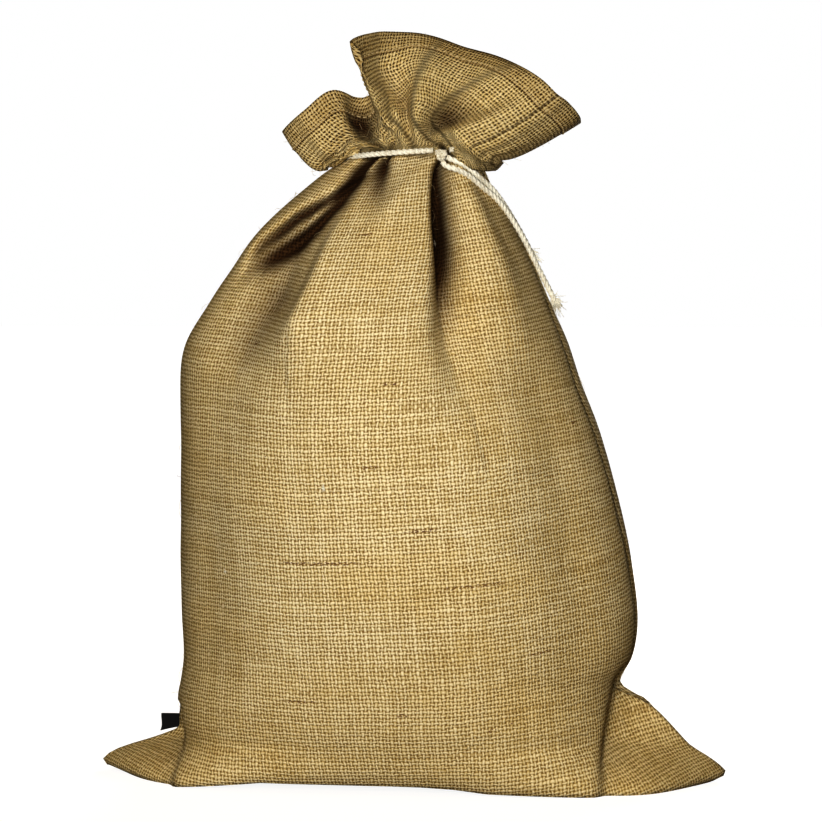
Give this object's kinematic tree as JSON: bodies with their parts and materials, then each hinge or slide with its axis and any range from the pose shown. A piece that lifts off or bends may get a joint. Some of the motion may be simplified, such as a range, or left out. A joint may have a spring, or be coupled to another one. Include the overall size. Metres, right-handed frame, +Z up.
{
  "type": "hessian sack",
  "caption": "Filled jute hessian sack standing on its base, with ears at the bottom corners and a cotton tie drawing in the neck below an open ruffled mouth.",
  "frame": {"origin": "on the floor under the middle of the sack's box", "axes": "+Z up to the mouth, -Y the front that faces the viewer, +X towards the right side seam"},
  "size_m": [0.404, 0.1905, 0.4825],
  "materials": {
    "jute_hessian": "coarse plain weave, dry and matt, with slubs",
    "cotton_cord": "soft twisted cotton, matt",
    "black_tape": "closely woven tape, matt"
  },
  "bodies": {
    "root": {"sack": "jute_hessian", "neck_tie": "cotton_cord", "tie_knot": "cotton_cord", "tie_end_short": "cotton_cord", "tie_end_long": "cotton_cord", "label": "black_tape"}
  },
  "joints": []
}
